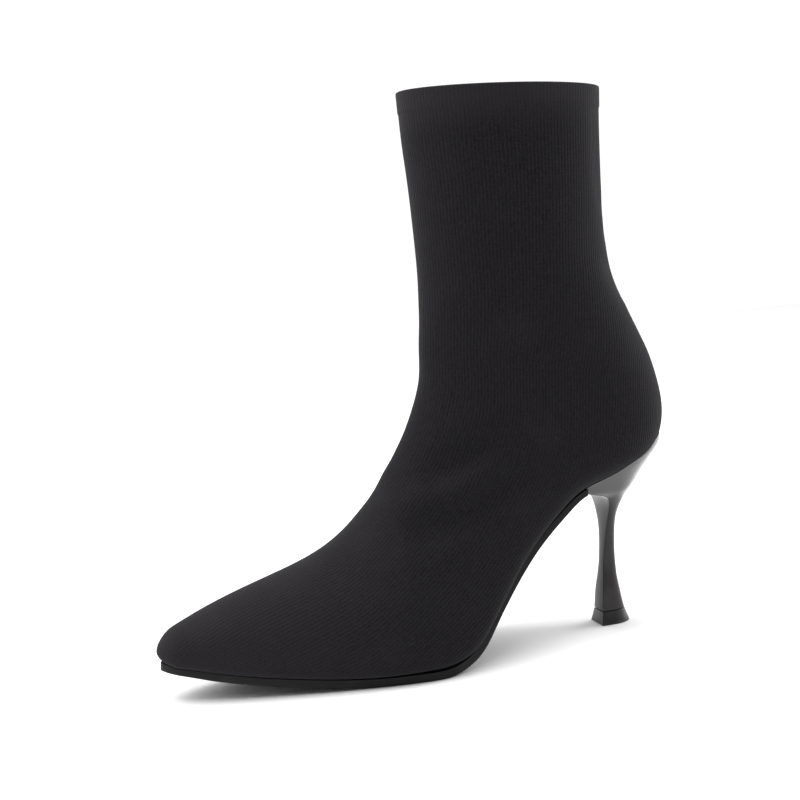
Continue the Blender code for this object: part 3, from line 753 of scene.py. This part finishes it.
TOP_PIECE = (
    HeelRow(0.000, 0.436, 0.564, 0.500, 0.96),
    HeelRow(0.081, 0.358, 0.435, 0.391, 0.96),
)
STEM = (
    HeelRow(0.196, 0.704, 0.764, 0.850, 0.96),
    HeelRow(0.314, 0.530, 0.597, 0.620, 0.95),
    HeelRow(0.393, 0.425, 0.575, 0.507, 0.95),
    HeelRow(0.471, 0.324, 0.569, 0.589, 0.94),
    HeelRow(0.550, 0.236, 0.611, 0.703, 0.94),
    HeelRow(0.654, 0.153, 0.694, 1.090, 0.94),
)
CUP = (
    HeelRow(0.726, 0.025, 0.152, 0.177, 0.95),
    HeelRow(0.772, 0.036, 0.197, 0.213, 0.95),
    HeelRow(0.810, 0.062, 0.234, 0.248, 0.97),
    HeelRow(0.836, 0.115, 0.265, 0.282, 1.00),
    HeelRow(0.850, 0.215, 0.286, 0.308, 1.05),
    HeelRow(0.860, CUP_FRONT, 0.300, 0.322, 1.10),
    HeelRow(0.885, CUP_FRONT, 0.338, 0.345, 1.08),
    HeelRow(0.955, CUP_FRONT, 0.430, 0.406, 0.98),
    HeelRow(1.060, CUP_FRONT, 0.572, 0.490, 0.90),
    HeelRow(1.095, CUP_FRONT, 0.634, 0.498, 0.89),
    HeelRow(1.150, CUP_FRONT, 0.680, 0.500, 0.88),
    HeelRow(1.230, CUP_FRONT, 0.640, 0.465, 0.86),
)
HEEL_TABLES = (
    (TOP_PIECE, TOP_PIECE_DEPTH, TOP_PIECE_WIDTH),
    (STEM, NECK_DEPTH, NECK_WIDTH),
    (CUP, CUP_DEPTH, CUP_WIDTH),
)
HEEL_BACK_POINTS = 28
HEEL_STEP = 0.0008       # height between two sections
CUP_FULLNESS = 0.09      # the cup's back corners fill out by this much over CUP_RISE above CUP_LOW
CUP_LOW = 0.072
CUP_RISE = 0.014
HEEL_EASE = 0.0007       # the form is averaged over a few such heights, so that no row shows as a ring
HEEL_EASE_RUN = 0.01     # and less within this distance of its ends
EDGE_BEVEL = 0.00035
BEVEL_ANGLE = 32         # degrees between two faces above which their edge is softened
HEEL_SHARP_ANGLE = 48    # and, once softened, shaded sharp
CUTTER_RINGS = 150
CUTTER_SECTORS = 120


def heel_ring(row):
    """Points round one level section of the heel: a flat breast, straight sides and a round back."""
    z, front, back, half, breast = row
    turns = np.linspace(0, math.pi / 2, HEEL_BACK_POINTS + 1)
    fullness = 1 - CUP_FULLNESS * min(1, max(0, (z - CUP_LOW) / CUP_RISE))
    side = [(-front, breast), (-front / 2, (breast + half) / 2)]
    side += [(back * math.sin(turn) ** fullness, half * math.cos(turn) ** fullness) for turn in turns[:-1]]
    side.append((back, 0.0))
    outline = side + [(x, -y) for x, y in reversed(side[:-1])] + [(-front, 0.0)]
    return [(x, y, z) for x, y in outline]


def heel_rows():
    """The rows of the heel's tables in metres: height, front, back, half width, breast half width."""
    rows = []
    for table, depth, width in HEEL_TABLES:
        for r in table:
            half = r.half * width
            rows.append((r.up * SEAT_HEIGHT, r.front * depth, r.back * depth, half, r.breast * half))
    return np.array(rows)


def heel_between(name, low, high):
    """The heel's form between two heights, its long edges softened."""
    rows = heel_rows()
    heights = np.linspace(low, high, math.ceil((high - low) / HEEL_STEP) + 1)
    reach = HEEL_EASE * np.clip(np.minimum(heights - low, high - heights) / HEEL_EASE_RUN, 0, 1)
    middle = len(EASE_WEIGHTS) // 2
    even = sum(
        weight * smooth(rows[:, 0], rows, heights + (k - middle) * reach)
        for k, weight in enumerate(EASE_WEIGHTS)
    )
    piece = lofted(name, [heel_ring(row) for row in even])
    bevel = piece.modifiers.new("softened", "BEVEL")
    bevel.width = EDGE_BEVEL
    bevel.segments = 3
    bevel.limit_method = "ANGLE"
    bevel.angle_limit = math.radians(BEVEL_ANGLE)
    return piece


def settled(piece):
    """Turns a piece's modifiers into its own mesh."""
    graph = bpy.context.evaluated_depsgraph_get()
    mesh = bpy.data.meshes.new_from_object(piece.evaluated_get(graph))
    piece.modifiers.clear()
    piece.data = mesh
    mesh.shade_smooth()
    mesh.set_sharp_from_angle(angle=math.radians(HEEL_SHARP_ANGLE))
    return piece


def seat_cutter():
    """The closed form of the knit and a clear gap round it, which the heel's cup is hollowed to fit."""
    _, grid, tip = boot_skin(CUTTER_RINGS, NOSE_RINGS, CUTTER_SECTORS, GAP, folded=False)
    count, size = grid.shape[:2]
    points = np.concatenate([grid.reshape(-1, 3), [tip]])
    faces = ring_quads(0, count, size) + [(count * size, j, (j + 1) % size) for j in range(size)]
    faces.append(tuple(range((count - 1) * size, count * size)))
    return new_piece("seat_cutter", points, faces)


def gloss_heel():
    """The heel, lofted from its tip to above the seat and hollowed by the knit's own form."""
    piece = heel_between("gloss_heel", TOP_PIECE_THICKNESS + GAP, CUP[-1].up * SEAT_HEIGHT)
    cutter = seat_cutter()
    hollow = piece.modifiers.new("seat", "BOOLEAN")
    hollow.object = cutter
    hollow.operation = "DIFFERENCE"
    hollow.solver = "EXACT"
    settled(piece)
    bpy.data.objects.remove(cutter)
    return piece


STEM_DARK = (0.0340, 0.0312, 0.0334, 1)
STEM_LIGHT = (0.0420, 0.0388, 0.0412, 1)
CUP_PAINTED_REFLECTION = (0.080, 0.077, 0.080, 1)
PALE_FROM_Z = 0.050      # the lacquer is painted paler, a painted reflection of the floor, and made glossier from the stem up to the cup
PALE_TO_Z = 0.074
MARK_DEPTH = 0.000012


def piano_gloss():
    """Black gloss lacquer over moulded plastic, with hair-fine handling marks and a painted reflection on
    the cup.
    """
    gloss = Finish(
        "black_gloss_lacquer", Metallic=0.0, Specular_IOR_Level=0.13, IOR=1.45,
        Coat_Roughness=0.05, Coat_IOR=1.4,
    )
    place = gloss.place()
    cloud = gloss.noise(place, 55.0, 4.0)
    fine = gloss.noise(place, 900.0, 2.0)
    _, _, height = gloss.parts(place)
    cup = gloss.spread(height, PALE_FROM_Z, PALE_TO_Z, 0.0, 1.0)
    stem = gloss.mix(cloud, STEM_DARK, STEM_LIGHT)
    # The cup's paler colour is a painted reflection; its coat weight is real gloss.
    gloss.feed("Base Color", gloss.mix(cup, stem, CUP_PAINTED_REFLECTION))
    gloss.feed("Coat Weight", cup * 0.9 + 0.06)
    gloss.feed("Roughness", gloss.spread(cloud + fine * 0.2, 0.35, 0.85, 0.16, 0.30))
    gloss.feed("Normal", gloss.relief(fine, MARK_DEPTH))
    return gloss.material


heel = gloss_heel()
heel.data.materials.append(piano_gloss())
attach(heel, "root")
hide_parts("heel")


# THE TOP PIECE
# The small hard rubber tip under the heel, going on with its flare down to the floor. It is nailed on and
# replaced when worn.

TIP_BLACK = (0.024, 0.0222, 0.0236, 1)
TIP_SCUFFED = (0.044, 0.041, 0.041, 1)
SCUFF_HEIGHT = 0.0018
TIP_GRAIN = 0.00003


def top_piece_rubber():
    """Hard black rubber, satin, scuffed a little towards the floor."""
    rubber = Finish("top_piece_rubber", Metallic=0.0, Specular_IOR_Level=0.3)
    place = rubber.place()
    _, _, height = rubber.parts(place)
    cloud = rubber.noise(place, 420.0, 4.0)
    low = rubber.spread(height, 0.0, SCUFF_HEIGHT, 1.0, 0.0)
    scuffed = low * rubber.spread(cloud, 0.45, 0.65, 0.0, 1.0)
    rubber.feed("Base Color", rubber.mix(scuffed, TIP_BLACK, TIP_SCUFFED))
    rubber.feed("Roughness", rubber.spread(cloud + scuffed * 0.4, 0.3, 1.1, 0.28, 0.60))
    rubber.feed("Normal", rubber.relief(cloud, TIP_GRAIN))
    return rubber.material


tip = settled(heel_between("heel_tip", 0.0, TOP_PIECE_THICKNESS))
tip.data.materials.append(top_piece_rubber())
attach(tip, "root")
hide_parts("top_piece")


# THE STUDIO
# A flat pale floor, a soft box at each end of the boot and one overhead, in a room that is white beyond the
# boot and dim behind the camera. The camera stands on the outer side, a little towards the toe.

FLOOR_SIZE = 2.8


def pale_floor():
    """A plain matt floor."""
    half = FLOOR_SIZE / 2
    points = [(-half, -half, 0), (half, -half, 0), (half, half, 0), (-half, half, 0)]
    piece = new_piece("floor", points, [(0, 1, 2, 3)])
    paint = Finish("pale_floor_paint", Roughness=0.9, Base_Color=(0.96, 0.96, 0.96, 1))
    piece.data.materials.append(paint.material)


def soft_box(name, place, aim, size, power):
    """A rectangular soft light at a place, turned to face a point."""
    lamp = bpy.data.lights.new(name, "AREA")
    lamp.shape = "RECTANGLE"
    lamp.size, lamp.size_y = size
    lamp.energy = power
    box = bpy.data.objects.new(name, lamp)
    box.location = place
    box.rotation_euler = (Vector(aim) - Vector(place)).to_track_quat("-Z", "Y").to_euler()
    bpy.context.scene.collection.objects.link(box)


pale_floor()
ANKLE = (-0.06, 0.0, 0.12)
soft_box("left_box", (-1.20, 0.15, 1.10), ANKLE, (1.2, 1.2), 14.0)
soft_box("right_box", (1.00, 0.10, 0.60), ANKLE, (0.7, 1.3), 9.0)
soft_box("over_box", (-0.35, -0.10, 1.5), ANKLE, (1.5, 1.1), 16.0)

ROOM_DARK = 0.22         # brightness behind the camera
ROOM_BRIGHT = 1.08       # and of the white sweep beyond the boot
SWEEP_FACING = (0.29, 0.957, 0.0)
DARK_UP_TO = -0.75       # how nearly a direction has to face the sweep to be dark or bright
BRIGHT_FROM = 0.15

room = bpy.data.worlds.new("studio_room")
bpy.context.scene.world = room
room.use_nodes = True
air = Nodes(room.node_tree)
around = air.node("ShaderNodeTexCoord", {}, {}, output="Generated")
facing = air.node(
    "ShaderNodeVectorMath", {"operation": "DOT_PRODUCT"}, {0: around, 1: SWEEP_FACING}, output="Value",
)
level = air.spread(facing, DARK_UP_TO, BRIGHT_FROM, ROOM_DARK, ROOM_BRIGHT)
backdrop = air.tree.nodes["Background"]
backdrop.inputs["Color"].default_value = (1.0, 1.0, 1.0, 1)
air.tree.links.new(level.socket, backdrop.inputs["Strength"])
bpy.context.scene.view_settings.view_transform = "Standard"

CAMERA_PLACE = (-0.2747, -0.5891, 0.2007)
CAMERA_HEADING = 16.90   # degrees from straight across the boot, turned towards the heel
CAMERA_DIP = 7.65        # degrees below level
CAMERA_ROLL = -4.74      # degrees
FOCAL_LENGTH = 62.6      # millimetres on a 36 mm wide picture

heading, dip = math.radians(CAMERA_HEADING), math.radians(CAMERA_DIP)
forward = Vector((math.sin(heading) * math.cos(dip), math.cos(heading) * math.cos(dip), -math.sin(dip)))
camera = bpy.data.objects.new("camera", bpy.data.cameras.new("camera"))
camera.location = CAMERA_PLACE
roll = Quaternion((0, 0, 1), math.radians(CAMERA_ROLL))
camera.rotation_mode = "QUATERNION"
camera.rotation_quaternion = forward.to_track_quat("-Z", "Y") @ roll
camera.data.lens = FOCAL_LENGTH
camera.data.sensor_width = 36.0
camera.data.clip_start = 0.01
bpy.context.scene.collection.objects.link(camera)
bpy.context.scene.camera = camera
